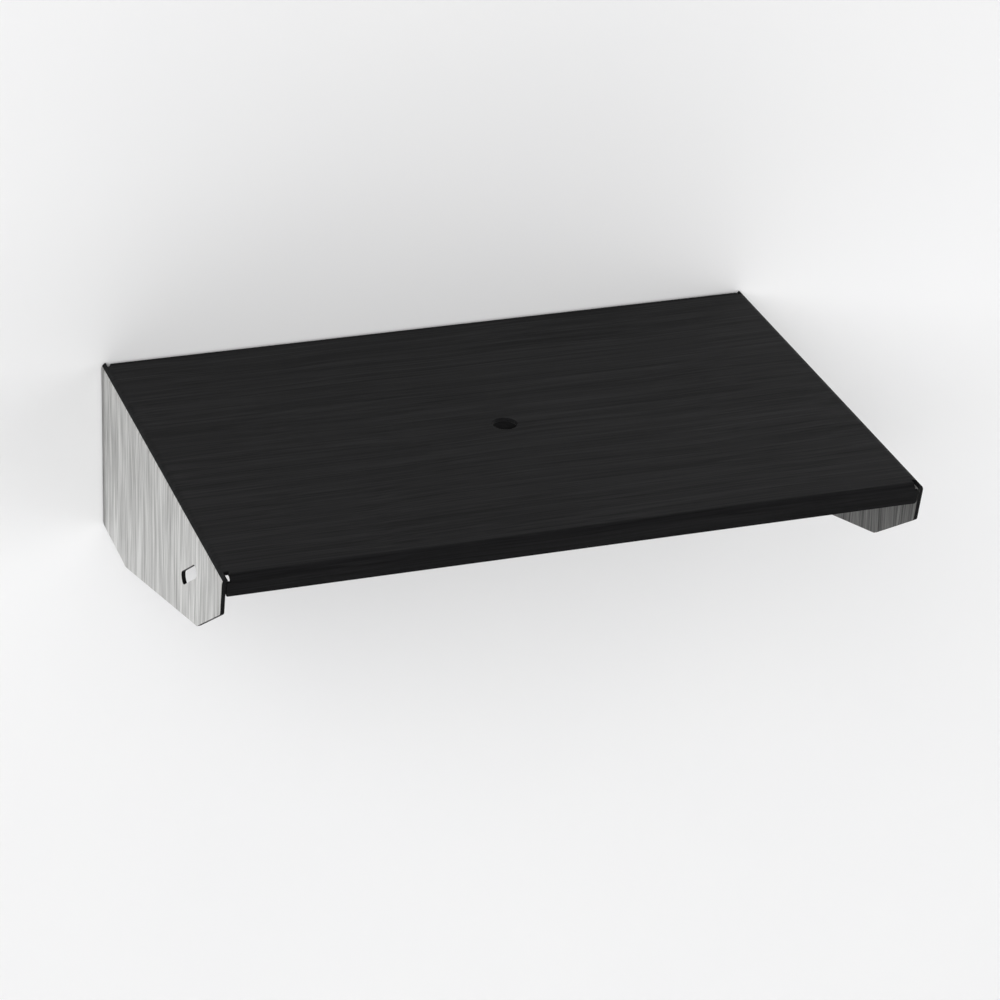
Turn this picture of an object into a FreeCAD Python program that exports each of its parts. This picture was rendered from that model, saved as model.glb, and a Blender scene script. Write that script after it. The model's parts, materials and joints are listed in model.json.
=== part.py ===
import FreeCAD, Part
import math
import os
import Sketcher

# Wall bracket for a game console, folded from one steel sheet.
# The wall face is the plane Y = 0, with the object in front of it towards -Y.
# The origin is the middle of the four wall screw holes, on the wall face.
# +X runs along the bracket and +Z is up. All sizes are in millimetres.

SIZES = {
    # the sheet and its bends
    "sheet_thickness": 1.2,
    "bend_inner_radius": 0.8,
    # the corners where the lip and the wall flange meet the end plates:
    # a slit parts each bend from the plate, and a narrow gap goes on below it
    "relief_width": 1.2,
    "relief_overrun": 0.8,
    "fold_gap": 0.2,
    # the shelf and its front lip, which leans back from the vertical by an angle in degrees
    "shelf_length": 200,
    "shelf_depth": 130,
    "lip_height": 6.5,
    "lip_lean": 9,
    # the two end plates, measured from the wall and from the top of the shelf
    "plate_drop": 53,
    "plate_foot": 27,
    "plate_knee_out": 105,
    "plate_knee_drop": 28.5,
    "plate_nose_drop": 12,
    "plate_corner_radius": 1.5,
    # the strap slot in each end plate, set in from the slanted edge behind the nose
    "slot_length": 18,
    "slot_width": 3.6,
    "slot_inset": 14,
    # the wall flange and its screw holes
    "flange_drop": 53,
    "screw_spacing_across": 160,
    "screw_spacing_up": 24,
    "screw_hole_diameter": 5.5,
    "screw_rows_drop": 30,
    # the free corners of the lip and the wall flange
    "fold_corner_radius": 0.5,
    # the hole for the screw that holds the console down on the shelf
    "console_hole_diameter": 7,
    "console_hole_out": 66,
}

OUTER_RADIUS = "(sizes.bend_inner_radius + sizes.sheet_thickness)"
LEAN = "(sizes.lip_lean * 1 deg)"
LIP_BEND_RUN = f"({OUTER_RADIUS} * tan((90 deg + {LEAN}) / 2))"
HALF_INSIDE = "(sizes.shelf_length / 2 - sizes.sheet_thickness)"
WASTE = "sizes.sheet_thickness"
PLATES = 2

# points and edges nearer to each other than this are taken as one
SAME_PLACE = 0.01


def make_sheet(doc):
    """Lists every driving dimension by name in one table."""
    sheet = doc.addObject("Spreadsheet::Sheet", "sizes")
    for row, (name, value) in enumerate(SIZES.items(), start=1):
        sheet.set(f"A{row}", name)
        sheet.set(f"B{row}", str(value))
        sheet.setAlias(f"B{row}", name)
    doc.recompute()


def origin_plane(body, role):
    """Finds one of the body's own origin planes by its role."""
    for feature in body.Origin.OriginFeatures:
        if feature.Role == role:
            return feature
    raise RuntimeError(f"no origin plane {role}")


def add_sketch(body, name, role, offset=None):
    """Adds a sketch on an origin plane, moved along the plane's normal by an expression."""
    sketch = body.newObject("Sketcher::SketchObject", name)
    sketch.AttachmentSupport = (origin_plane(body, role), [""])
    sketch.MapMode = "FlatFace"
    if offset:
        sketch.setExpression("AttachmentOffset.Base.z", offset)
    return sketch


def add_polygon(sketch, points):
    """Draws a closed polygon and gives its first side; side n runs from point n to the next one."""
    corners = [FreeCAD.Vector(x, y, 0) for x, y in points]
    first = sketch.GeometryCount
    for start, end in zip(corners, corners[1:] + corners[:1]):
        sketch.addGeometry(Part.LineSegment(start, end), False)
    count = len(corners)
    for side in range(count):
        ends = (first + side, 2, first + (side + 1) % count, 1)
        sketch.addConstraint(Sketcher.Constraint("Coincident", *ends))
    return first


def constrain(sketch, name, kind, expression, *where):
    """Adds a driving dimension to the sketch and binds it to an expression."""
    value = sketch.evalExpression(expression)
    index = sketch.addConstraint(Sketcher.Constraint(kind, *where, value))
    sketch.renameConstraint(index, name)
    sketch.setExpression(f"Constraints.{name}", expression)


def constrain_place(sketch, name, kind, sign, distance, *point):
    """Binds one coordinate of a point: on which side of the origin it lies, and how far."""
    ends = (-1, 1, *point) if sign > 0 else (*point, -1, 1)
    constrain(sketch, name, kind, distance, *ends)


def fix_sides(sketch, kind, sides):
    """Holds sides of a polygon horizontal or vertical."""
    for side in sides:
        sketch.addConstraint(Sketcher.Constraint(kind, side))


def add_rectangle(sketch, label, corners):
    """Draws a rectangle from two opposite corners, each coordinate a sign and a distance expression."""
    (x_one, y_one), (x_two, y_two) = [
        [sign * float(sketch.evalExpression(distance)) for sign, distance in corner]
        for corner in corners
    ]
    first = add_polygon(sketch, [(x_one, y_one), (x_two, y_one), (x_two, y_two), (x_one, y_two)])
    fix_sides(sketch, "Horizontal", (first, first + 2))
    fix_sides(sketch, "Vertical", (first + 1, first + 3))
    for name, corner, side in zip(("near", "far"), corners, (first, first + 2)):
        for kind, (sign, distance) in zip(("DistanceX", "DistanceY"), corner):
            constrain_place(sketch, f"{label}_{name}_{kind}", kind, sign, distance, side, 1)


def edges_along(shape, axis, places):
    """Names the straight edges along an axis (0 is X, 1 is Y) at places in the plane across it."""
    names = []
    for number, edge in enumerate(shape.Edges, start=1):
        if not isinstance(edge.Curve, Part.Line) or abs(edge.Curve.Direction[axis]) < 1 - SAME_PLACE:
            continue
        across = [value for index, value in enumerate(edge.CenterOfMass) if index != axis]
        if any(math.dist(across, place) < SAME_PLACE for place in places):
            names.append(f"Edge{number}")
    return names


def add_fillet(doc, body, name, edges, expected, radius):
    """Rounds the named edges of the body's tip with a radius given by an expression."""
    if len(edges) != expected:
        raise RuntimeError(f"{name}: found {len(edges)} edges, not {expected}")
    base = body.Tip
    fillet = body.newObject("PartDesign::Fillet", name)
    fillet.Base = (base, edges)
    fillet.setExpression("Radius", radius)
    doc.recompute()


def cut_away(doc, body, name, sketch, depth=None):
    """Cuts a sketch through the whole body, or down to a depth, and checks that metal was removed."""
    before = body.Tip.Shape.Volume
    pocket = body.newObject("PartDesign::Pocket", name)
    pocket.Profile = sketch
    if depth:
        pocket.setExpression("Length", depth)
    else:
        pocket.Type = "ThroughAll"
        pocket.SideType = "Symmetric"
    doc.recompute()
    if body.Tip.Shape.Volume >= before:
        raise RuntimeError(f"{name} cut nothing")


def add_channel(doc, body, size):
    """Shelf with an end plate folded down at each end, all as deep as the shelf."""
    sketch = add_sketch(body, "channel_section", "XZ_Plane")
    sheet = size["sheet_thickness"]
    half = size["shelf_length"] / 2
    top = size["screw_rows_drop"]
    foot = top - size["plate_drop"]
    points = [
        (-half, top),
        (-half, foot),
        (-half + sheet, foot),
        (-half + sheet, top - sheet),
        (half - sheet, top - sheet),
        (half - sheet, foot),
        (half, foot),
        (half, top),
    ]
    add_polygon(sketch, points)
    fix_sides(sketch, "Vertical", (0, 2, 4, 6))
    fix_sides(sketch, "Horizontal", (1, 3, 5))
    sketch.addConstraint(Sketcher.Constraint("Symmetric", 0, 1, 7, 1, -2))
    sketch.addConstraint(Sketcher.Constraint("Equal", 0, 6))
    sketch.addConstraint(Sketcher.Constraint("Equal", 1, 5))
    constrain(sketch, "shelf_length", "DistanceX", "sizes.shelf_length", 0, 1, 7, 1)
    constrain(sketch, "top", "DistanceY", "sizes.screw_rows_drop", -1, 1, 0, 1)
    constrain(sketch, "plate_drop", "DistanceY", "sizes.plate_drop", 0, 2, 0, 1)
    constrain(sketch, "plate_sheet", "DistanceX", "sizes.sheet_thickness", 1, 1, 1, 2)
    constrain(sketch, "shelf_sheet", "DistanceY", "sizes.sheet_thickness", 2, 2, 0, 1)

    pad = body.newObject("PartDesign::Pad", "channel")
    pad.Profile = sketch
    pad.setExpression("Length", "sizes.shelf_depth")
    doc.recompute()
    for name, inset, radius in (("outside", 0, OUTER_RADIUS), ("inside", sheet, "sizes.bend_inner_radius")):
        corners = [(side * (half - inset), top - inset) for side in (-1, 1)]
        edges = edges_along(body.Tip.Shape, 1, corners)
        add_fillet(doc, body, f"end_bends_{name}", edges, len(corners), radius)


def plate_corners(size):
    """Corners of an end plate: foot, knee, nose and the leaning front edge's top."""
    top = size["screw_rows_drop"]
    depth = size["shelf_depth"]
    nose_run = size["plate_nose_drop"] * math.tan(math.radians(size["lip_lean"]))
    return [
        (-size["plate_foot"], top - size["plate_drop"]),
        (-size["plate_knee_out"], top - size["plate_knee_drop"]),
        (-depth + nose_run, top - size["plate_nose_drop"]),
        (-depth, top),
    ]


def draw_strap_slot(sketch, size, edge):
    """Long round-ended slot beside the knee, parallel to the slanted edge from knee to nose."""
    corners = plate_corners(size)
    knee, nose = (FreeCAD.Vector(*corner, 0) for corner in corners[1:3])
    along = (nose - knee).normalize()
    inward = FreeCAD.Vector(along.y, -along.x, 0)
    radius = size["slot_width"] / 2
    reach = size["slot_length"] / 2 - radius
    middle = knee + inward * size["slot_inset"]
    ends = [middle + along * reach, middle - along * reach]
    turn = math.atan2(along.y, along.x)
    normal = FreeCAD.Vector(0, 0, 1)
    first = sketch.GeometryCount
    for end, start in zip(ends, (turn - math.pi / 2, turn + math.pi / 2)):
        circle = Part.Circle(end, normal, radius)
        sketch.addGeometry(Part.ArcOfCircle(circle, start, start + math.pi), False)
    side = inward * -radius
    sketch.addGeometry(Part.LineSegment(ends[0] + side, ends[1] + side), False)
    sketch.addGeometry(Part.LineSegment(ends[1] - side, ends[0] - side), False)
    sketch.addGeometry(Part.LineSegment(knee, middle), True)
    front, back, upper, lower, stem = range(first, sketch.GeometryCount)
    sketch.addConstraint(Sketcher.Constraint("Tangent", front, 2, upper, 1))
    sketch.addConstraint(Sketcher.Constraint("Tangent", upper, 2, back, 1))
    sketch.addConstraint(Sketcher.Constraint("Tangent", back, 2, lower, 1))
    sketch.addConstraint(Sketcher.Constraint("Tangent", lower, 2, front, 1))
    sketch.addConstraint(Sketcher.Constraint("Equal", front, back))
    sketch.addConstraint(Sketcher.Constraint("Parallel", upper, edge))
    sketch.addConstraint(Sketcher.Constraint("Coincident", stem, 1, edge, 1))
    sketch.addConstraint(Sketcher.Constraint("Perpendicular", stem, edge))
    sketch.addConstraint(Sketcher.Constraint("Symmetric", front, 3, back, 3, stem, 2))
    constrain(sketch, "slot_radius", "Radius", "sizes.slot_width / 2", front)
    constrain(sketch, "slot_straight", "Distance", "sizes.slot_length - sizes.slot_width", upper)
    constrain(sketch, "slot_inset", "Distance", "sizes.slot_inset", stem)


def cut_plate_outline(doc, body, size):
    """Cuts both end plates to their outline, with the strap slots, and rounds their free corners."""
    sketch = add_sketch(body, "plate_outline", "YZ_Plane")
    corners = plate_corners(size)
    waste = size["sheet_thickness"]
    foot, top = corners[0], corners[-1]
    outside = [(top[0] - waste, top[1]), (top[0] - waste, foot[1] - waste), (foot[0], foot[1] - waste)]
    add_polygon(sketch, corners + outside)
    fix_sides(sketch, "Horizontal", (3, 5))
    fix_sides(sketch, "Vertical", (4, 6))
    constrain(sketch, "depth", "DistanceX", "sizes.shelf_depth", 3, 1, -1, 1)
    constrain(sketch, "top", "DistanceY", "sizes.screw_rows_drop", -1, 1, 3, 1)
    constrain(sketch, "foot", "DistanceX", "sizes.plate_foot", 0, 1, -1, 1)
    constrain(sketch, "drop", "DistanceY", "sizes.plate_drop", 0, 1, 3, 1)
    constrain(sketch, "knee_out", "DistanceX", "sizes.plate_knee_out", 1, 1, -1, 1)
    constrain(sketch, "knee_drop", "DistanceY", "sizes.plate_knee_drop", 1, 1, 3, 1)
    constrain(sketch, "nose_drop", "DistanceY", "sizes.plate_nose_drop", 2, 1, 3, 1)
    constrain(sketch, "nose_run", "DistanceX", f"sizes.plate_nose_drop * tan({LEAN})", 3, 1, 2, 1)
    constrain(sketch, "waste_front", "DistanceX", WASTE, 4, 1, 3, 1)
    constrain(sketch, "waste_below", "DistanceY", WASTE, 6, 1, 0, 1)
    draw_strap_slot(sketch, size, 1)
    cut_away(doc, body, "plate_outlines", sketch)
    free = [(0, foot[1]), *corners[:3]]
    edges = edges_along(body.Tip.Shape, 0, free)
    add_fillet(doc, body, "plate_corners", edges, PLATES * len(free), "sizes.plate_corner_radius")


def cut_bend_strips(doc, body):
    """Clears the shelf's front and rear edges between the end plates, where the two bends go."""
    sketch = add_sketch(body, "bend_strips", "XY_Plane", "sizes.screw_rows_drop")
    inside = ((-1, HALF_INSIDE), (1, HALF_INSIDE))
    front = ((-1, f"sizes.shelf_depth + {WASTE}"), (-1, f"sizes.shelf_depth - {LIP_BEND_RUN}"))
    rear = ((-1, OUTER_RADIUS), (1, WASTE))
    for label, ends in (("front", front), ("rear", rear)):
        add_rectangle(sketch, label, list(zip(inside, ends)))
    cut_away(doc, body, "bend_strip_cuts", sketch, OUTER_RADIUS)


def draw_fold(sketch, size, label, side, lean, length, place, run):
    """Section of a bend with its flat leaf; side is -1 at the front and 1 at the wall.

    The leaf's length and the bend's run are measured from the sharp corner, and the place
    of the bend's centre from the wall. All three are expressions.
    """
    inner = size["bend_inner_radius"]
    outer = inner + size["sheet_thickness"]
    straight = float(sketch.evalExpression(f"{length} - {run}"))
    middle = FreeCAD.Vector(-float(sketch.evalExpression(place)), size["screw_rows_drop"] - outer, 0)
    out = FreeCAD.Vector(side * math.cos(lean), -math.sin(lean), 0)
    down = FreeCAD.Vector(-side * math.sin(lean), -math.cos(lean), 0)
    up = FreeCAD.Vector(0, 1, 0)
    turn = (-lean, math.pi / 2) if side > 0 else (math.pi / 2, math.pi + lean)
    shelf_end, leaf_end = (2, 1) if side > 0 else (1, 2)
    first = sketch.GeometryCount
    for radius in (outer, inner):
        circle = Part.Circle(middle, FreeCAD.Vector(0, 0, 1), radius)
        sketch.addGeometry(Part.ArcOfCircle(circle, *turn), False)
    outside, inside = (middle + out * radius for radius in (outer, inner))
    path = [outside, outside + down * straight, inside + down * straight, inside]
    sketch.addGeometry(Part.LineSegment(middle + up * outer, middle + up * inner), False)
    for start, end in zip(path, path[1:]):
        sketch.addGeometry(Part.LineSegment(start, end), False)
    arc, inner_arc, root, face, tip, back = range(first, sketch.GeometryCount)
    sketch.addConstraint(Sketcher.Constraint("Coincident", arc, 3, inner_arc, 3))
    sketch.addConstraint(Sketcher.Constraint("Coincident", arc, shelf_end, root, 1))
    sketch.addConstraint(Sketcher.Constraint("Coincident", inner_arc, shelf_end, root, 2))
    sketch.addConstraint(Sketcher.Constraint("Vertical", root))
    sketch.addConstraint(Sketcher.Constraint("Vertical", arc, 3, arc, shelf_end))
    sketch.addConstraint(Sketcher.Constraint("Tangent", arc, leaf_end, face, 1))
    sketch.addConstraint(Sketcher.Constraint("Tangent", back, 2, inner_arc, leaf_end))
    sketch.addConstraint(Sketcher.Constraint("Coincident", face, 2, tip, 1))
    sketch.addConstraint(Sketcher.Constraint("Coincident", tip, 2, back, 1))
    sketch.addConstraint(Sketcher.Constraint("Parallel", face, back))
    sketch.addConstraint(Sketcher.Constraint("Perpendicular", tip, face))
    constrain(sketch, f"{label}_outer_radius", "Radius", OUTER_RADIUS, arc)
    constrain(sketch, f"{label}_inner_radius", "Radius", "sizes.bend_inner_radius", inner_arc)
    level = f"sizes.screw_rows_drop - {OUTER_RADIUS}"
    constrain(sketch, f"{label}_place", "DistanceX", place, arc, 3, -1, 1)
    constrain(sketch, f"{label}_level", "DistanceY", level, -1, 1, arc, 3)
    constrain(sketch, f"{label}_straight", "Distance", f"{length} - {run}", face)
    if lean:
        fall = f"{OUTER_RADIUS} * sin({LEAN})"
        constrain(sketch, f"{label}_lean", "DistanceY", fall, arc, leaf_end, arc, 3)
    else:
        sketch.addConstraint(Sketcher.Constraint("Horizontal", arc, 3, arc, leaf_end))
    return (path[1] + path[2]) / 2


def add_folds(doc, body, size):
    """Folds the leaning front lip and the wall flange down between the end plates."""
    sketch = add_sketch(body, "fold_sections", "YZ_Plane")
    lean = math.radians(size["lip_lean"])
    lip_place = f"sizes.shelf_depth - {LIP_BEND_RUN}"
    tips = [
        draw_fold(sketch, size, "lip", -1, lean, "sizes.lip_height", lip_place, LIP_BEND_RUN),
        draw_fold(sketch, size, "flange", 1, 0, "sizes.flange_drop", OUTER_RADIUS, OUTER_RADIUS),
    ]
    pad = body.newObject("PartDesign::Pad", "lip_and_flange")
    pad.Profile = sketch
    pad.SideType = "Symmetric"
    pad.setExpression("Length", f"2 * ({HALF_INSIDE} - sizes.fold_gap)")
    doc.recompute()

    half = size["shelf_length"] / 2 - size["sheet_thickness"] - size["fold_gap"]
    corners = [(side * half, tip.x, tip.y) for side in (-1, 1) for tip in tips]
    edges = []
    for number, edge in enumerate(body.Tip.Shape.Edges, start=1):
        if any(math.dist(edge.CenterOfMass, corner) < SAME_PLACE for corner in corners):
            edges.append(f"Edge{number}")
    add_fillet(doc, body, "fold_corners", edges, len(corners), "sizes.fold_corner_radius")


def cut_corner_reliefs(doc, body):
    """Slits at the four corners that part the front and rear bends from the end plates."""
    sketch = add_sketch(body, "relief_slits", "XY_Plane", "sizes.screw_rows_drop")
    front_reach = f"sizes.shelf_depth - {LIP_BEND_RUN} - sizes.relief_overrun"
    front = ((-1, f"sizes.shelf_depth + {WASTE}"), (-1, front_reach))
    rear = ((-1, f"{OUTER_RADIUS} + sizes.relief_overrun"), (1, WASTE))
    for side_name, side in (("left", -1), ("right", 1)):
        across = ((side, f"{HALF_INSIDE} - sizes.relief_width"), (side, HALF_INSIDE))
        for label, ends in (("front", front), ("rear", rear)):
            add_rectangle(sketch, f"{side_name}_{label}", list(zip(across, ends)))
    cut_away(doc, body, "corner_reliefs", sketch, OUTER_RADIUS)


def add_wall_screw_holes(doc, body, size):
    """Four clearance holes through the wall flange, in a rectangle round the origin."""
    sketch = add_sketch(body, "wall_screw_circles", "XZ_Plane")
    across = size["screw_spacing_across"] / 2
    up = size["screw_spacing_up"] / 2
    normal = FreeCAD.Vector(0, 0, 1)
    for side_name, side in (("left", -1), ("right", 1)):
        for row_name, row in (("lower", -1), ("upper", 1)):
            middle = FreeCAD.Vector(side * across, row * up, 0)
            radius = size["screw_hole_diameter"] / 2
            hole = sketch.addGeometry(Part.Circle(middle, normal, radius), False)
            label = f"{side_name}_{row_name}"
            across_size = "sizes.screw_spacing_across / 2"
            up_size = "sizes.screw_spacing_up / 2"
            constrain_place(sketch, f"{label}_across", "DistanceX", side, across_size, hole, 3)
            constrain_place(sketch, f"{label}_up", "DistanceY", row, up_size, hole, 3)
            constrain(sketch, f"{label}_radius", "Radius", "sizes.screw_hole_diameter / 2", hole)
    cut_away(doc, body, "wall_screw_holes", sketch)


def add_console_hole(doc, body, size):
    """One clearance hole through the shelf for the screw into the console's underside."""
    sketch = add_sketch(body, "console_screw_circle", "XY_Plane")
    middle = FreeCAD.Vector(0, -size["console_hole_out"], 0)
    circle = Part.Circle(middle, FreeCAD.Vector(0, 0, 1), size["console_hole_diameter"] / 2)
    hole = sketch.addGeometry(circle, False)
    sketch.addConstraint(Sketcher.Constraint("PointOnObject", hole, 3, -2))
    constrain_place(sketch, "hole_out", "DistanceY", -1, "sizes.console_hole_out", hole, 3)
    constrain(sketch, "hole_radius", "Radius", "sizes.console_hole_diameter / 2", hole)
    cut_away(doc, body, "console_screw_hole", sketch)


def build_bracket(doc, size):
    body = doc.addObject("PartDesign::Body", "bracket_body")
    body.Label = "bracket"
    add_channel(doc, body, size)
    cut_plate_outline(doc, body, size)
    cut_bend_strips(doc, body)
    add_folds(doc, body, size)
    cut_corner_reliefs(doc, body)
    add_wall_screw_holes(doc, body, size)
    add_console_hole(doc, body, size)
    body.Placement = FreeCAD.Placement()
    doc.recompute()
    return body


def check_document(doc, pieces):
    """Stops if any object failed or any piece isn't one valid solid."""
    for item in doc.Objects:
        if "Invalid" in item.State or "Error" in item.State:
            raise RuntimeError(f"{item.Name} failed: {item.State}")
    for piece in pieces:
        shape = piece.Shape
        if shape.isNull() or not shape.isValid():
            raise RuntimeError(f"{piece.Label} has no valid shape")
        if len(shape.Solids) != 1:
            raise RuntimeError(f"{piece.Label} is {len(shape.Solids)} solids")


def write_pieces(pieces):
    os.makedirs("parts", exist_ok=True)
    for piece in pieces:
        piece.Shape.exportStep(os.path.join("parts", piece.Label + ".step"))
        print(piece.Label, "volume", round(piece.Shape.Volume, 1), "mm3,", len(piece.Shape.Faces), "faces")


document = FreeCAD.newDocument("console_wall_bracket")
make_sheet(document)
finished = [build_bracket(document, SIZES)]
check_document(document, finished)
write_pieces(finished)
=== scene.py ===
import json
import math

import bmesh
import bpy
from bpy.props import FloatProperty, FloatVectorProperty, PointerProperty
from mathutils import Matrix, Vector


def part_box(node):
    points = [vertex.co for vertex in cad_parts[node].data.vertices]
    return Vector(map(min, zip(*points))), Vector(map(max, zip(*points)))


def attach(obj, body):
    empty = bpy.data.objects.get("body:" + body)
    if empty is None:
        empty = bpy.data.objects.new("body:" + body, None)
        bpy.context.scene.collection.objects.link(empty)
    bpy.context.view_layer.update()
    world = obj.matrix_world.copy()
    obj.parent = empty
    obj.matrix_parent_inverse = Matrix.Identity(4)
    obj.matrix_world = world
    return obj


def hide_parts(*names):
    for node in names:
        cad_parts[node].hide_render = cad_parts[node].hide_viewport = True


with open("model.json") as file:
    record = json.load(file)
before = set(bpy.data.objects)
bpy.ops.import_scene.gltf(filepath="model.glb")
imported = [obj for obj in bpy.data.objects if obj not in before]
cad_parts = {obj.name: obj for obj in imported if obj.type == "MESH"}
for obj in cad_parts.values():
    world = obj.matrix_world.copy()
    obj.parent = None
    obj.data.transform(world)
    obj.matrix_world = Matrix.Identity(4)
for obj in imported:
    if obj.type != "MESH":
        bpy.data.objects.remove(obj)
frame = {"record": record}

bl_info = {
    "name": "Console wall bracket",
    "version": (1, 0, 0),
    "blender": (4, 5, 0),
    "location": "View3D > Sidebar > Wall bracket",
    "description": "Folds a steel wall bracket for a game console and sets it up on a white wall",
    "category": "Object",
}

MM = 0.001
BRACKET = "bracket"
LOW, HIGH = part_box(BRACKET)
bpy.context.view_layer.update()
MOUNTS = {mount["name"]: mount for mount in frame["record"]["mounts"]}
QUARTER = math.pi / 2


def linear(colour):
    """Turns an sRGB hex colour into linear RGBA."""
    channels = [int(colour[start:start + 2], 16) / 255 for start in (1, 3, 5)]
    rgb = [c / 12.92 if c <= 0.04045 else ((c + 0.055) / 1.055) ** 2.4 for c in channels]
    return (*rgb, 1.0)


def length_property(name, description, millimetres):
    """A size that is shown in the scene's own unit of length."""
    return FloatProperty(
        name=name,
        description=description,
        default=millimetres * MM,
        min=0.0,
        unit="LENGTH",
        precision=5,
    )


def angle_property(name, description, degrees):
    """An angle that is shown in degrees."""
    return FloatProperty(
        name=name, description=description, default=math.radians(degrees), subtype="ANGLE"
    )


def colour_property(name, description, colour):
    """A colour swatch, given as sRGB hex."""
    return FloatVectorProperty(
        name=name,
        description=description,
        default=linear(colour),
        size=4,
        min=0.0,
        max=1.0,
        subtype="COLOR",
    )


class BracketSizes(bpy.types.PropertyGroup):
    """Sizes of the folded sheet. The box round it comes from the frame."""

    sheet: length_property("Sheet", "Thickness of the steel sheet", 1.2)
    inner_radius: length_property("Bend radius", "Inner radius of every bend", 0.8)
    relief_width: length_property("Slit width", "Width of the slits that part the bends", 1.2)
    relief_overrun: length_property("Slit overrun", "How far a slit goes on behind the bend", 0.8)
    fold_gap: length_property("Fold gap", "Gap between the end plates and the folded leaves", 0.2)
    corner_radius: length_property("Plate corner", "Radius of the end plates' free corners", 1.5)
    fold_corner: length_property("Fold corner", "Radius of the free corners of lip and flange", 0.5)
    edge_round: length_property("Edge rounding", "How far the cut edges are rounded", 0.15)
    lip_height: length_property("Lip height", "Length of the front lip down its slope", 6.5)
    lip_lean: angle_property("Lip lean", "How far the lip leans back from the vertical", 9)
    foot: length_property("Foot", "Level stretch at the bottom of an end plate", 27)
    knee_out: length_property("Knee out", "Distance of the end plate's knee from the wall", 105)
    knee_drop: length_property("Knee drop", "Drop of the knee below the shelf", 28.5)
    nose_drop: length_property("Nose drop", "Height of the end plate's front edge", 12)
    slot_length: length_property("Slot length", "Length of the strap slot, end to end", 18)
    slot_width: length_property("Slot width", "Width of the strap slot", 3.6)
    slot_inset: length_property("Slot inset", "Distance of the slot from the slanted edge", 14)
    bare_from: angle_property("Bare from", "Where on an end bend the black coat stops", 63)


class BracketFinish(bpy.types.PropertyGroup):
    """Colours and grain of the finishes, and the colours of the stage."""

    coat: colour_property("Coat", "Black coat on shelf, lip, flange and cut edges", "#070708")
    coat_light: colour_property("Coat streak", "Brush mark that shows in the black coat", "#161617")
    steel: colour_property("Steel", "Brushed steel outside on the end plates", "#e9e9e7")
    steel_dark: colour_property("Steel streak", "Dark brush mark on that steel", "#8a8a88")
    # painted shade: the plates' inner faces get darker steel colours for the shade under the shelf
    inner_steel_painted_shade: colour_property("Inner steel", "Brushed steel inside the end plates", "#868684")
    inner_streak_painted_shade: colour_property("Inner streak", "Dark brush mark on that steel", "#343433")
    wall: colour_property("Wall", "Matt white wall paint", "#f5f5f5")
    wall_shade: colour_property("Wall shade", "Faint clouds in the wall paint", "#f2f2f3")
    floor: colour_property("Floor", "Pale matt floor", "#e4e4e4")
    floor_shade: colour_property("Floor shade", "Faint clouds in the floor", "#e0e0e0")
    fine_mark: length_property("Fine brush mark", "Width of a fine brush mark", 0.3)
    middle_mark: length_property("Brush mark", "Width of a plain brush mark", 0.8)
    broad_mark: length_property("Brush band", "Width of a band of brush marks", 3.0)
    plate_mark_length: length_property("Plate mark length", "Length of a mark on the plates", 30)
    shelf_mark_length: length_property("Shelf mark length", "Length of a mark in the coat", 60)
    sway_length: length_property("Sway length", "Length over which the marks sway", 45)
    plate_sway: length_property("Plate sway", "How far the plates' marks sway", 7)
    shelf_sway: length_property("Shelf sway", "How far the coat's marks sway", 2)
    cloud: length_property("Paint cloud", "Width of the faint clouds in the paint", 90)


def add_node(tree, kind, inputs=None, **settings):
    """Adds a node, gives it its settings, and sets or links its inputs."""
    node = tree.nodes.new(kind)
    for name, value in settings.items():
        setattr(node, name, value)
    for name, value in (inputs or {}).items():
        socket = node.inputs[name]
        if isinstance(value, bpy.types.NodeSocket):
            tree.links.new(value, socket)
        else:
            socket.default_value = value
    return node


def new_material(name):
    """An empty node material."""
    material = bpy.data.materials.new(name)
    material.use_nodes = True
    material.node_tree.nodes.clear()
    return material


# share of each width of mark in the brushed look
BRUSH_LAYERS = {"fine_mark": 0.45, "middle_mark": 0.35, "broad_mark": 0.2}

# the sum of the layers stays near a half, and this part of it is spread from dark to light
DARKEST, LIGHTEST = 0.39, 0.61

# finer grain inside each mark
MARK_GRAIN = {"Scale": 1.0, "Detail": 3.0, "Roughness": 0.6}

# axes across which the marks are narrow: they run along the shelf, or stand upright
ALONG_SHELF, UPRIGHT = (1, 2), (1,)

# roughness of the darkest and the lightest marks, and how deep the marks are
COAT_ROUGHNESS = (0.62, 0.48)
COAT_RELIEF = 0.01 * MM
STEEL_ROUGHNESS = (0.48, 0.36)
STEEL_RELIEF = 0.02 * MM
RELIEF_STRENGTH = 0.4

# sockets of a Mix node that mixes colours
MIX_SHARE, MIX_FIRST, MIX_SECOND, MIX_RESULT = 0, 6, 7, 2


def brush_marks(tree, finish, narrow, length, sway):
    """Brush marks that are narrow along some axes of the object and long along the others.

    Fine scratches lie in broader bands, as a hand-held belt leaves them. The finest real
    marks are under 0.1 mm wide and are drawn coarser, so that the picture can show them.
    """
    place = add_node(tree, "ShaderNodeTexCoord").outputs["Object"]
    push = {"Vector": place, "Scale": 1 / finish.sway_length, "Detail": 0.0}
    push = add_node(tree, "ShaderNodeTexNoise", push).outputs["Color"]
    swayed = {0: push, 1: [sway] * 3, 2: place}
    place = add_node(tree, "ShaderNodeVectorMath", swayed, operation="MULTIPLY_ADD").outputs[0]
    total = 0.0
    for width, share in BRUSH_LAYERS.items():
        size = getattr(finish, width)
        scale = [1 / (size if axis in narrow else length) for axis in range(3)]
        stretch = {0: place, 1: scale}
        stretched = add_node(tree, "ShaderNodeVectorMath", stretch, operation="MULTIPLY")
        grain = {"Vector": stretched.outputs[0], **MARK_GRAIN}
        noise = add_node(tree, "ShaderNodeTexNoise", grain).outputs["Fac"]
        layer = {0: noise, 1: share, 2: total}
        total = add_node(tree, "ShaderNodeMath", layer, operation="MULTIPLY_ADD").outputs[0]
    spread = {"Value": total, "From Min": DARKEST, "From Max": LIGHTEST}
    return add_node(tree, "ShaderNodeMapRange", spread).outputs[0]


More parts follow.
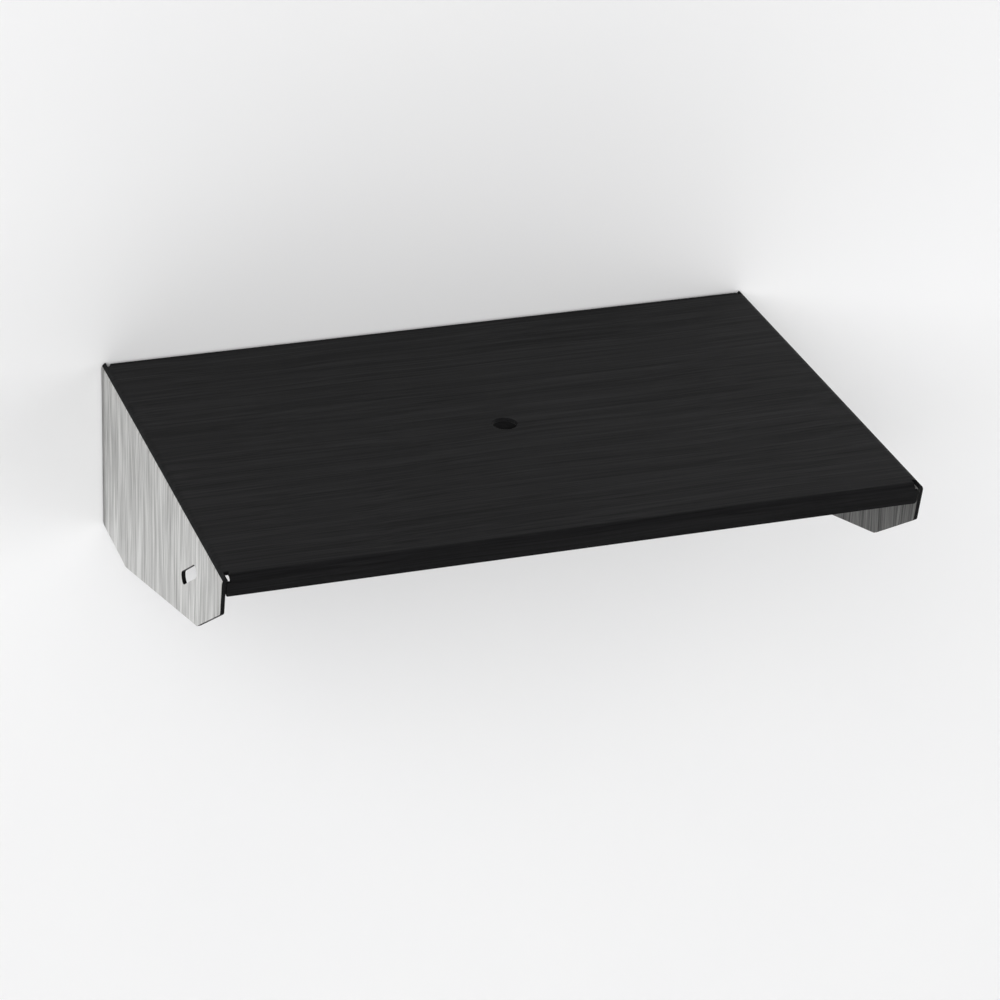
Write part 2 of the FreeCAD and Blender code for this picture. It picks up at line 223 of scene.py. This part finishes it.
def metal_surface(material, marks, colours, roughness, depth, shader_settings):
    """Finishes a material whose colour, gloss and relief follow the brush marks."""
    tree = material.node_tree
    mix = {MIX_SHARE: marks, MIX_FIRST: colours[0], MIX_SECOND: colours[1]}
    colour = add_node(tree, "ShaderNodeMix", mix, data_type="RGBA")
    span = {"Value": marks, "To Min": roughness[0], "To Max": roughness[1]}
    gloss = add_node(tree, "ShaderNodeMapRange", span)
    bump = {"Height": marks, "Strength": RELIEF_STRENGTH, "Distance": depth}
    relief = add_node(tree, "ShaderNodeBump", bump)
    inputs = {
        "Base Color": colour.outputs[MIX_RESULT],
        "Roughness": gloss.outputs[0],
        "Normal": relief.outputs[0],
        **shader_settings,
    }
    shader = add_node(tree, "ShaderNodeBsdfPrincipled", inputs)
    add_node(tree, "ShaderNodeOutputMaterial", {"Surface": shader.outputs[0]})


def black_coated_steel(finish):
    """Satin black coat on brushed steel.

    The eye reads it by its faint sheen and by the marks of the brushed sheet under it, which
    run along the shelf.
    """
    material = new_material("black_coated_steel")
    size = (finish.shelf_mark_length, finish.shelf_sway)
    marks = brush_marks(material.node_tree, finish, ALONG_SHELF, *size)
    colours = (finish.coat, finish.coat_light)
    settings = {"IOR": 1.5, "Specular IOR Level": 0.08}
    metal_surface(material, marks, colours, COAT_ROUGHNESS, COAT_RELIEF, settings)
    return material


def brushed_steel(name, finish, colours):
    """Hand-brushed bare steel.

    The eye reads it by its long upright streaks, light and dark, and by its blurred
    reflections of the wall. The plates' inner faces get darker colours, which are painted shade
    for the shade that falls under the shelf.
    """
    material = new_material(name)
    size = (finish.plate_mark_length, finish.plate_sway)
    marks = brush_marks(material.node_tree, finish, UPRIGHT, *size)
    settings = {"Metallic": 1.0}
    metal_surface(material, marks, colours, STEEL_ROUGHNESS, STEEL_RELIEF, settings)
    return material


# the paint stops no ray that is shorter than this, so that light reaches the back of the flange
NEAR = 4 * MM


def matt_paint(name, finish, colour, shade):
    """Matt paint with faint clouds in it.

    It is seen from its front only, and light from behind it reaches what touches it, so that
    the bracket can be looked at from behind and below.
    """
    material = new_material(name)
    tree = material.node_tree
    place = add_node(tree, "ShaderNodeTexCoord").outputs["Object"]
    cloud = add_node(tree, "ShaderNodeTexNoise", {"Vector": place, "Scale": 1 / finish.cloud})
    mix = {MIX_SHARE: cloud.outputs["Fac"], MIX_FIRST: colour, MIX_SECOND: shade}
    tint = add_node(tree, "ShaderNodeMix", mix, data_type="RGBA")
    paint = add_node(tree, "ShaderNodeBsdfDiffuse", {"Color": tint.outputs[MIX_RESULT]})
    clear = add_node(tree, "ShaderNodeBsdfTransparent")
    side = add_node(tree, "ShaderNodeNewGeometry")
    path = add_node(tree, "ShaderNodeLightPath")
    short = {0: path.outputs["Ray Length"], 1: NEAR}
    near = add_node(tree, "ShaderNodeMath", short, operation="LESS_THAN")
    either = {0: side.outputs["Backfacing"], 1: path.outputs["Is Shadow Ray"]}
    unseen = add_node(tree, "ShaderNodeMath", either, operation="MAXIMUM")
    either = {0: unseen.outputs[0], 1: near.outputs[0]}
    unseen = add_node(tree, "ShaderNodeMath", either, operation="MAXIMUM")
    layers = {0: unseen.outputs[0], 1: paint.outputs[0], 2: clear.outputs[0]}
    mixed = add_node(tree, "ShaderNodeMixShader", layers)
    add_node(tree, "ShaderNodeOutputMaterial", {"Surface": mixed.outputs[0]})
    return material


BEND_STEPS = 16
HOLE_STEPS = 40
CORNER_STEPS = 6


def spaced(start, end, steps):
    """Evenly spaced values, both ends included."""
    return [start + (end - start) * step / steps for step in range(steps + 1)]


def arc_points(centre, radius, start, end, steps):
    """Points on an arc in a plane, both ends included."""
    turns = spaced(start, end, steps)
    return [Vector(centre) + radius * Vector((math.cos(turn), math.sin(turn))) for turn in turns]


def circle_points(centre, radius):
    """Points round a screw hole, each one once."""
    return arc_points(centre, radius, 0, 4 * QUARTER, HOLE_STEPS)[:-1]


def rounded(corners, radius, which):
    """A polygon with some of its corners replaced by tangent arcs."""
    points = []
    for number, corner in enumerate(corners):
        if number not in which:
            points.append(corner)
            continue
        back = (corners[number - 1] - corner).normalized()
        ahead = (corners[(number + 1) % len(corners)] - corner).normalized()
        half = back.angle(ahead) / 2
        middle = corner + (back + ahead).normalized() * (radius / math.sin(half))
        first = corner + back * (radius / math.tan(half)) - middle
        last = corner + ahead * (radius / math.tan(half)) - middle
        turn = math.atan2(first.x * last.y - first.y * last.x, first.dot(last))
        start = math.atan2(first.y, first.x)
        points += arc_points(middle, radius, start, start + turn, CORNER_STEPS)
    return points


# the flange keeps this far off the wall face, so that its rounded edges don't pass through it
HAIR = 0.01 * MM

# points of two panels that lie closer than this are one
SAME_POINT = 0.001 * MM

# each finish of the outer skin has its inner skin's material in the next slot; the bare plates'
# inner skin gets the darker steel, which is painted shade
COATED, BARE = 0, 2
INNER_SKIN = 1


class FoldedSheet:
    """Outer skin of the folded sheet: flat panels and bends, before the sheet gets its thickness.

    The end bends run the shelf's full depth. The lip and the wall flange are folded down
    between the end plates, and a slit at each corner parts their bends from the plates.
    """

    def __init__(self, sizes):
        self.mesh = bmesh.new()
        self.sizes = sizes
        self.bend = sizes.inner_radius + sizes.sheet
        self.top = HIGH.z
        self.level = self.top - self.bend

        # distances from the middle: plate, its bend, its inner face, slit, end of lip and flange
        self.half = HIGH.x
        self.side = self.half - self.bend
        self.inside = self.half - sizes.sheet
        self.slit = self.inside - sizes.relief_width
        self.leaf = self.inside - sizes.fold_gap

        # where the flat shelf ends in front and behind, with the slits' inner ends
        self.run = self.bend * math.tan((QUARTER + sizes.lip_lean) / 2)
        self.depth = -LOW.y
        self.front = self.run - self.depth
        self.rear = HIGH.y - HAIR - self.bend
        self.slit_ends = (self.rear - sizes.relief_overrun, self.front + sizes.relief_overrun)

    def settle(self, face, outward, finish):
        """Gives a face its finish and turns it so that it looks outward."""
        face.material_index = finish
        face.smooth = True
        face.normal_update()
        if face.normal.dot(outward) < 0:
            face.normal_flip()

    def panel(self, outline, holes, place, outward, finish):
        """A flat panel with holes, drawn in a plane and put in place."""
        edges = []
        for loop in [outline, *holes]:
            corners = [self.mesh.verts.new(place(point)) for point in loop]
            edges += [self.mesh.edges.new(pair) for pair in zip(corners, corners[1:] + corners[:1])]
        filled = bmesh.ops.triangle_fill(self.mesh, edges=edges, use_beauty=True)
        for item in filled["geom"]:
            if isinstance(item, bmesh.types.BMFace):
                self.settle(item, outward, finish)

    def strip(self, rows, outward, finish):
        """A bend: quads between two like rows of points."""
        first, second = ([self.mesh.verts.new(point) for point in row] for row in rows)
        for one in range(len(first) - 1):
            corners = (first[one], first[one + 1], second[one + 1], second[one])
            self.settle(self.mesh.faces.new(corners), outward, finish)

    def shelf(self):
        """Shelf with the console's screw hole, notched at its corners by the slits."""
        rear, front = self.slit_ends
        right = [
            (self.slit, self.front),
            (self.slit, front),
            (self.side, front),
            (self.side, rear),
            (self.slit, rear),
            (self.slit, self.rear),
        ]
        outline = [Vector(p) for p in right] + [Vector((-x, y)) for x, y in reversed(right)]
        screw = MOUNTS["console_screw"]
        hole = circle_points(screw["pos_m"][:2], screw["dims"]["r_mm"] * MM)
        self.panel(outline, [hole], lambda p: (p.x, p.y, self.top), Vector((0, 0, 1)), COATED)

    def fold(self, side, lean, length, holes):
        """Lip (side -1) or wall flange (side 1): its bend and the flat leaf under it."""
        middle = Vector((self.front if side < 0 else self.rear, self.level))
        between_slits = spaced(0, QUARTER, BEND_STEPS)
        below_slits = spaced(QUARTER, QUARTER + lean, 2) if lean else [QUARTER]
        outward = Vector((0, side, 0))

        def row(x, angles):
            """Points round the bend, at a distance from the middle."""
            arc = [middle + self.bend * Vector((side * math.sin(a), math.cos(a))) for a in angles]
            return [(x, point.x, point.y) for point in arc]

        bend = [row(x, between_slits) for x in (-self.slit, self.slit)]
        self.strip(bend, outward + Vector((0, 0, 1)), COATED)
        ends = [row(x, below_slits) for x in (-self.leaf, -self.slit, self.slit, self.leaf)]
        for rows in zip(ends, ends[1:]):
            self.strip(rows, outward, COATED)

        _, y, z = row(0, below_slits)[-1]
        corners = [(-self.leaf, 0), (-self.leaf, length), (self.leaf, length), (self.leaf, 0)]
        corners += [(self.slit, 0), (-self.slit, 0)]
        outline = rounded([Vector(corner) for corner in corners], self.sizes.fold_corner, (1, 2))

        def place(point):
            """A point of the leaf, whose second value is measured down its slope."""
            down = point.y
            return point.x, y - down * side * math.sin(lean), z - down * math.cos(lean)

        self.panel(outline, holes, place, outward, COATED)

    def lip(self):
        """Front lip, which leans back."""
        self.fold(-1, self.sizes.lip_lean, self.sizes.lip_height - self.run, [])

    def flange(self):
        """Wall flange with its four screw holes."""
        screws = MOUNTS["wall_screws"]
        across, up = (screws["dims"][key] * MM / 2 for key in ("spacing_x_mm", "spacing_y_mm"))
        x, _, z = screws["pos_m"]
        radius = screws["dims"]["hole_r_mm"] * MM
        holes = [
            circle_points((x + i * across, self.level - z + j * up), radius)
            for i in (-1, 1)
            for j in (-1, 1)
        ]
        self.fold(1, 0.0, self.level - LOW.z, holes)

    def front_edge(self, z):
        """Distance of an end plate's leaning front edge from the wall, at a height."""
        return (self.top - z) * math.tan(self.sizes.lip_lean) - self.depth

    def plate_outline(self):
        """End plate below its bend, seen from the side; also its knee and nose."""
        sizes = self.sizes
        nose_level = self.top - sizes.nose_drop
        knee = Vector((-sizes.knee_out, self.top - sizes.knee_drop))
        nose = Vector((self.front_edge(nose_level), nose_level))
        rear, front = self.slit_ends
        corners = [
            Vector((HIGH.y, self.level)),
            Vector((HIGH.y, LOW.z)),
            Vector((-sizes.foot, LOW.z)),
            knee,
            nose,
            Vector((self.front_edge(self.level), self.level)),
            Vector((front, self.level)),
            Vector((rear, self.level)),
        ]
        return rounded(corners, sizes.corner_radius, (1, 2, 3, 4)), knee, nose

    def strap_slot(self, knee, nose):
        """Round-ended slot beside the knee, parallel to the slanted edge behind the nose."""
        sizes = self.sizes
        along = (nose - knee).normalized()
        inward = Vector((-along.y, along.x))
        inward = inward if inward.y > 0 else -inward
        middle = knee + inward * sizes.slot_inset
        radius = sizes.slot_width / 2
        reach = along * (sizes.slot_length / 2 - radius)
        turn = math.atan2(along.y, along.x)
        steps = HOLE_STEPS // 4
        far = arc_points(middle + reach, radius, turn - QUARTER, turn + QUARTER, steps)
        near = arc_points(middle - reach, radius, turn + QUARTER, turn + 3 * QUARTER, steps)
        return far + near

    def end_bend(self, side):
        """Bend between the shelf and an end plate: coated, and bare beside the plate."""
        rear, front = self.slit_ends
        outward = Vector((side, 0, 1))
        slit_turn = math.asin((self.inside - self.side) / self.bend)
        beside_slits = spaced(0, slit_turn, 2)
        coated = spaced(slit_turn, self.sizes.bare_from, BEND_STEPS // 2)
        bare = spaced(self.sizes.bare_from, QUARTER, BEND_STEPS // 3)

        def row(angles, y=None):
            """Points round the bend, at a depth or else along the plate's leaning front edge."""
            points = []
            for angle in angles:
                x = self.side + self.bend * math.sin(angle)
                z = self.level + self.bend * math.cos(angle)
                points.append((side * x, self.front_edge(z) if y is None else y, z))
            return points

        self.strip((row(beside_slits, rear), row(beside_slits, front)), outward, COATED)
        for angles, finish in ((coated, COATED), (bare, BARE)):
            rows = [row(angles, HIGH.y), row(angles, rear), row(angles, front), row(angles)]
            for pair in zip(rows, rows[1:]):
                self.strip(pair, outward, finish)

    def end(self, side):
        """End plate with its slot and its bend on one side, -1 or 1."""
        outline, knee, nose = self.plate_outline()
        slot = self.strap_slot(knee, nose)
        x = side * self.half
        self.panel(outline, [slot], lambda p: (x, p.x, p.y), Vector((side, 0, 0)), BARE)
        self.end_bend(side)

    def finished(self, name):
        """Joins the panels and bends and hands over the mesh."""
        bmesh.ops.remove_doubles(self.mesh, verts=self.mesh.verts, dist=SAME_POINT)
        mesh = bpy.data.meshes.new(name)
        self.mesh.to_mesh(mesh)
        self.mesh.free()
        return mesh


# only folds and edges sharper than this are rounded, and the large flat faces keep their shading
SHARP = math.radians(50)
EDGE_SEGMENTS = 2
FLAT_FACE_WEIGHT = 100


class BRACKET_OT_folded_sheet(bpy.types.Operator):
    """Folds the bracket from one sheet: shelf, lip, wall flange and both end plates"""

    bl_idname = "bracket.folded_sheet"
    bl_label = "Folded sheet"

    def execute(self, context):
        sizes = context.scene.bracket_sizes
        finish = context.scene.bracket_finish
        sheet = FoldedSheet(sizes)
        sheet.shelf()
        sheet.lip()
        sheet.flange()
        for side in (-1, 1):
            sheet.end(side)
        piece = bpy.data.objects.new("folded_bracket", sheet.finished("folded_bracket"))
        context.scene.collection.objects.link(piece)
        coat = black_coated_steel(finish)
        outer = brushed_steel("brushed_steel", finish, (finish.steel_dark, finish.steel))
        # the darker inner steel is painted shade for the shade under the shelf
        inner = brushed_steel("painted_shade_inner_steel", finish, (finish.inner_streak_painted_shade, finish.inner_steel_painted_shade))
        for material in (coat, coat, outer, inner):
            piece.data.materials.append(material)

        thickness = piece.modifiers.new("sheet", "SOLIDIFY")
        thickness.thickness = sizes.sheet
        thickness.offset = -1.0
        thickness.use_even_offset = True
        thickness.use_quality_normals = True
        thickness.material_offset = INNER_SKIN
        thickness.material_offset_rim = COATED - BARE

        deburr = piece.modifiers.new("rounded_edges", "BEVEL")
        deburr.width = sizes.edge_round
        deburr.segments = EDGE_SEGMENTS
        deburr.limit_method = "ANGLE"
        deburr.angle_limit = SHARP
        deburr.use_clamp_overlap = False
        deburr.loop_slide = False

        flat = piece.modifiers.new("flat_faces", "WEIGHTED_NORMAL")
        flat.weight = FLAT_FACE_WEIGHT

        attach(piece, "root")
        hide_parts(BRACKET)
        return {"FINISHED"}


# camera, from the left, in front and above
VIEWPOINT = Vector((-319.0, -912.2, 492.9)) * MM
AIM = Vector((0.0, -65.0, 5.0)) * MM
CAMERA_ROLL = math.radians(2.7)
LENS = 130.0

# wall and floor, in metres; the wall stands just clear of the flange
STAGE_SIZE = 6.0
FLOOR_DROP = 1.2
WALL_GAP = 0.3 * MM

# lamps, in metres and watts, and the strength of the world
KEY_LAMP = {"place": Vector((-1.82, -2.38, 1.54)), "size": 2.5, "power": 68.0}
FILL_LAMP = {"place": Vector((1.3, -1.9, 0.1)), "size": 1.8, "power": 15.0}
WORLD_STRENGTH = 0.38


def plane(name, centre, across, up, material):
    """A flat square stage piece that faces across x up."""
    half = STAGE_SIZE / 2
    signs = ((-1, -1), (1, -1), (1, 1), (-1, 1))
    corners = [centre + across * (half * i) + up * (half * j) for i, j in signs]
    mesh = bpy.data.meshes.new(name)
    mesh.from_pydata(corners, [], [(0, 1, 2, 3)])
    mesh.materials.append(material)
    piece = bpy.data.objects.new(name, mesh)
    bpy.context.scene.collection.objects.link(piece)


def soft_lamp(name, place, size, power):
    """A square area lamp that faces the bracket."""
    light = bpy.data.lights.new(name, "AREA")
    light.size = size
    light.energy = power
    lamp = bpy.data.objects.new(name, light)
    lamp.location = place
    lamp.rotation_euler = (AIM - place).to_track_quat("-Z", "Y").to_euler()
    bpy.context.scene.collection.objects.link(lamp)


def studio_world():
    """Even pale light from all round."""
    world = bpy.data.worlds.new("studio")
    world.use_nodes = True
    background = world.node_tree.nodes["Background"]
    background.inputs["Color"].default_value = linear("#ffffff")
    background.inputs["Strength"].default_value = WORLD_STRENGTH
    bpy.context.scene.world = world


class BRACKET_OT_stage(bpy.types.Operator):
    """Sets up the wall, the floor, the lamps and the camera"""

    bl_idname = "bracket.stage"
    bl_label = "Stage"

    def execute(self, context):
        finish = context.scene.bracket_finish
        x, y, z = Matrix.Identity(3).col
        wall = matt_paint("matt_wall_paint", finish, finish.wall, finish.wall_shade)
        floor = matt_paint("matt_floor_paint", finish, finish.floor, finish.floor_shade)
        plane("wall", Vector((0, HIGH.y + WALL_GAP, STAGE_SIZE / 2 - FLOOR_DROP)), x, z, wall)
        plane("floor", Vector((0, HIGH.y - STAGE_SIZE / 2, -FLOOR_DROP)), x, y, floor)
        soft_lamp("key", **KEY_LAMP)
        soft_lamp("fill", **FILL_LAMP)
        studio_world()

        camera = bpy.data.objects.new("camera", bpy.data.cameras.new("camera"))
        camera.data.lens = LENS
        camera.location = VIEWPOINT
        aimed = (AIM - VIEWPOINT).to_track_quat("-Z", "Y").to_matrix().to_4x4()
        camera.rotation_euler = (aimed @ Matrix.Rotation(CAMERA_ROLL, 4, "Z")).to_euler()
        context.scene.collection.objects.link(camera)
        context.scene.camera = camera
        context.scene.view_settings.view_transform = "Standard"
        return {"FINISHED"}


class BRACKET_PT_sidebar(bpy.types.Panel):
    """Lists the steps that build the bracket and its stage, its sizes and its finishes"""

    bl_label = "Wall bracket"
    bl_idname = "BRACKET_PT_sidebar"
    bl_space_type = "VIEW_3D"
    bl_region_type = "UI"
    bl_category = "Wall bracket"

    def draw(self, context):
        for operator in OPERATORS:
            self.layout.operator(operator.bl_idname)
        for group in (context.scene.bracket_sizes, context.scene.bracket_finish):
            column = self.layout.column(align=True)
            for name in group.__annotations__:
                column.prop(group, name)


GROUPS = {"bracket_sizes": BracketSizes, "bracket_finish": BracketFinish}
OPERATORS = (BRACKET_OT_folded_sheet, BRACKET_OT_stage)
CLASSES = (*GROUPS.values(), *OPERATORS, BRACKET_PT_sidebar)


def register():
    """Registers the classes and gives the scene its sizes and finishes."""
    for item in CLASSES:
        bpy.utils.register_class(item)
    for name, group in GROUPS.items():
        setattr(bpy.types.Scene, name, PointerProperty(type=group))


def unregister():
    """Takes away what register has added."""
    for name in GROUPS:
        delattr(bpy.types.Scene, name)
    for item in reversed(CLASSES):
        bpy.utils.unregister_class(item)


def main():
    """Builds the bracket and its stage."""
    register()
    bpy.ops.bracket.folded_sheet()
    bpy.ops.bracket.stage()


if __name__ == "__main__":
    main()
